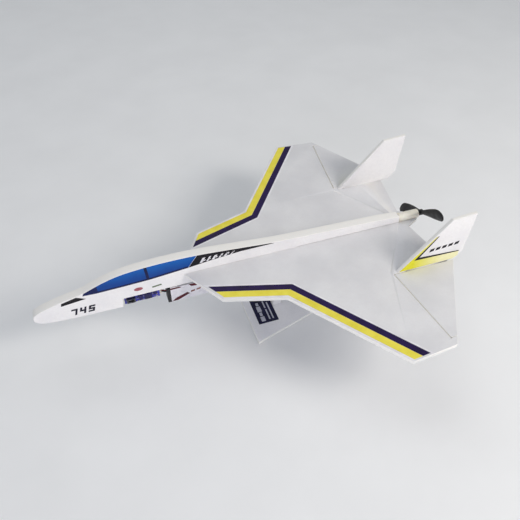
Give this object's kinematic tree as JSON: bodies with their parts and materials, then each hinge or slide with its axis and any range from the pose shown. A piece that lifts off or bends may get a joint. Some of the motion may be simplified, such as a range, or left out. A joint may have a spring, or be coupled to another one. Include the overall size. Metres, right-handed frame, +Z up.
{
  "type": "rc jet plane",
  "caption": "Foam-board radio control jet with a flat upright fuselage, cranked delta wing, twin fins, elevons and a pusher propeller, on a display stand.",
  "frame": {"origin": "middle of the length and width, on the surface the stand rests on", "axes": "+X forward through the nose, +Y to the pilot's left, +Z up"},
  "size_m": [0.311, 0.253, 0.1043],
  "materials": {
    "foam": "closed-cell polystyrene foam sheet, satin skin",
    "stand_foam": "closed-cell foam sheet",
    "canopy_blue_film": "printed vinyl film",
    "navy_film": "printed vinyl film",
    "black_film": "printed vinyl film",
    "badge_film": "printed vinyl film",
    "yellow_film": "printed vinyl film",
    "violet_film": "printed vinyl film",
    "ivory_plastic": "moulded ABS",
    "motor_steel": "drawn steel can",
    "magnet": "nickel-plated magnet",
    "blue_plastic": "moulded brush cap",
    "copper": "enamelled copper coil",
    "shaft_steel": "ground steel",
    "rod_steel": "drawn steel wire",
    "black_nylon": "moulded nylon",
    "white_nylon": "moulded nylon",
    "servo_plastic": "moulded ABS",
    "red_wire": "silicone-insulated wire",
    "grey_wire": "vinyl-insulated wire",
    "foam_tape": "double-sided foam tape",
    "blue_board": "glass-epoxy board, blue solder mask",
    "black_epoxy": "moulded epoxy packages",
    "socket_nylon": "moulded nylon",
    "switch_steel": "tinned steel shell",
    "hook_fabric": "hook-and-loop strip",
    "cell_foil": "laminated pouch foil",
    "white_wrap": "heat-shrink wrap",
    "black_tape": "insulating tape over the cell's end",
    "label_paper": "printed label"
  },
  "bodies": {
    "stand": {"stand_plate": "stand_foam", "stand_post": "stand_foam", "stand_cradle": "stand_foam", "stand_label": "label_paper"},
    "airframe": {"fuselage": "foam", "wing": "foam", "fin_left": "foam", "fin_right": "foam", "canopy_panes_left": "canopy_blue_film", "canopy_panes_right": "canopy_blue_film", "canopy_frame_left": "navy_film", "canopy_frame_right": "navy_film", "flash_left": "black_film", "flash_right": "black_film", "nose_wedges": "black_film", "nose_number_left": "black_film", "nose_number_right": "black_film", "badges": "badge_film", "stripe_yellow_left": "yellow_film", "stripe_yellow_right": "yellow_film", "fin_film_left": "yellow_film", "fin_film_right": "yellow_film", "stripe_navy_left": "violet_film", "stripe_navy_right": "violet_film", "fin_mark_left": "black_film", "fin_mark_right": "black_film", "motor_sleeve": "ivory_plastic", "motor_can": "motor_steel", "motor_magnet": "magnet", "motor_end_cap": "blue_plastic", "motor_leads": "red_wire", "receiver_pad": "foam_tape", "receiver_board": "blue_board", "receiver_chips": "black_epoxy", "socket_row": "socket_nylon", "battery_socket": "socket_nylon", "switch_body": "switch_steel", "antenna_wire": "grey_wire", "servo_lead_left": "grey_wire", "servo_lead_right": "grey_wire", "servo_left": "servo_plastic", "servo_right": "servo_plastic"},
    "elevon_left": {"elevon_left": "foam", "control_horn_left": "white_nylon"},
    "elevon_right": {"elevon_right": "foam", "control_horn_right": "white_nylon"},
    "servo_arm_left": {"servo_arm_left": "white_nylon"},
    "servo_arm_right": {"servo_arm_right": "white_nylon"},
    "pushrod_left": {"pushrod_left": "rod_steel"},
    "pushrod_right": {"pushrod_right": "rod_steel"},
    "propeller": {"motor_coil": "copper", "motor_shaft": "shaft_steel", "propeller": "black_nylon"},
    "battery": {"battery_velcro": "hook_fabric", "battery_cell": "cell_foil", "battery_wrap": "white_wrap", "battery_cap": "black_tape", "battery_plug": "socket_nylon", "battery_leads": "red_wire"},
    "switch_knob": {"switch_knob": "black_nylon"}
  },
  "joints": [
    {"name": "airframe_lift", "type": "slide", "parent": "stand", "child": "airframe", "axis": [0, 0, 1], "range_m": [0, 0.06]},
    {"name": "elevon_left_hinge", "type": "hinge", "parent": "airframe", "child": "elevon_left", "pos_m": [-0.09653, 0.0538, 0.0602], "axis": [-0.1206, 0.9927, 0], "range_deg": [-18, 18]},
    {"name": "servo_arm_left_turn", "type": "hinge", "parent": "airframe", "child": "servo_arm_left", "pos_m": [-0.06242, 0.07154, 0.0571], "axis": [-0.1206, 0.9927, 0], "range_deg": [-27, 27]},
    {"name": "pushrod_left_eye", "type": "hinge", "parent": "servo_arm_left", "child": "pushrod_left", "pos_m": [-0.06242, 0.07154, 0.0501], "axis": [-0.1206, 0.9927, 0], "range_deg": [-27, 27]},
    {"name": "elevon_right_hinge", "type": "hinge", "parent": "airframe", "child": "elevon_right", "pos_m": [-0.09653, -0.0538, 0.0602], "axis": [0.1206, 0.9927, 0], "range_deg": [-18, 18]},
    {"name": "servo_arm_right_turn", "type": "hinge", "parent": "airframe", "child": "servo_arm_right", "pos_m": [-0.06242, -0.07154, 0.0571], "axis": [0.1206, 0.9927, 0], "range_deg": [-27, 27]},
    {"name": "pushrod_right_eye", "type": "hinge", "parent": "servo_arm_right", "child": "pushrod_right", "pos_m": [-0.06242, -0.07154, 0.0501], "axis": [0.1206, 0.9927, 0], "range_deg": [-27, 27]},
    {"name": "propeller_spin", "type": "hinge", "parent": "airframe", "child": "propeller", "pos_m": [-0.148, 0, 0.0649], "axis": [1, 0, 0], "continuous": true},
    {"name": "battery_slide", "type": "slide", "parent": "airframe", "child": "battery", "axis": [-1, 0, 0], "range_m": [0, 0.0045]},
    {"name": "switch_slide", "type": "slide", "parent": "airframe", "child": "switch_knob", "axis": [1, 0, 0], "range_m": [0, 0.0022]}
  ],
  "couplings": [
    {"joint": "servo_arm_left_turn", "follows": "elevon_left_hinge", "ratio": 1.46},
    {"joint": "pushrod_left_eye", "follows": "elevon_left_hinge", "ratio": -1.46},
    {"joint": "servo_arm_right_turn", "follows": "elevon_right_hinge", "ratio": 1.46},
    {"joint": "pushrod_right_eye", "follows": "elevon_right_hinge", "ratio": -1.46}
  ]
}
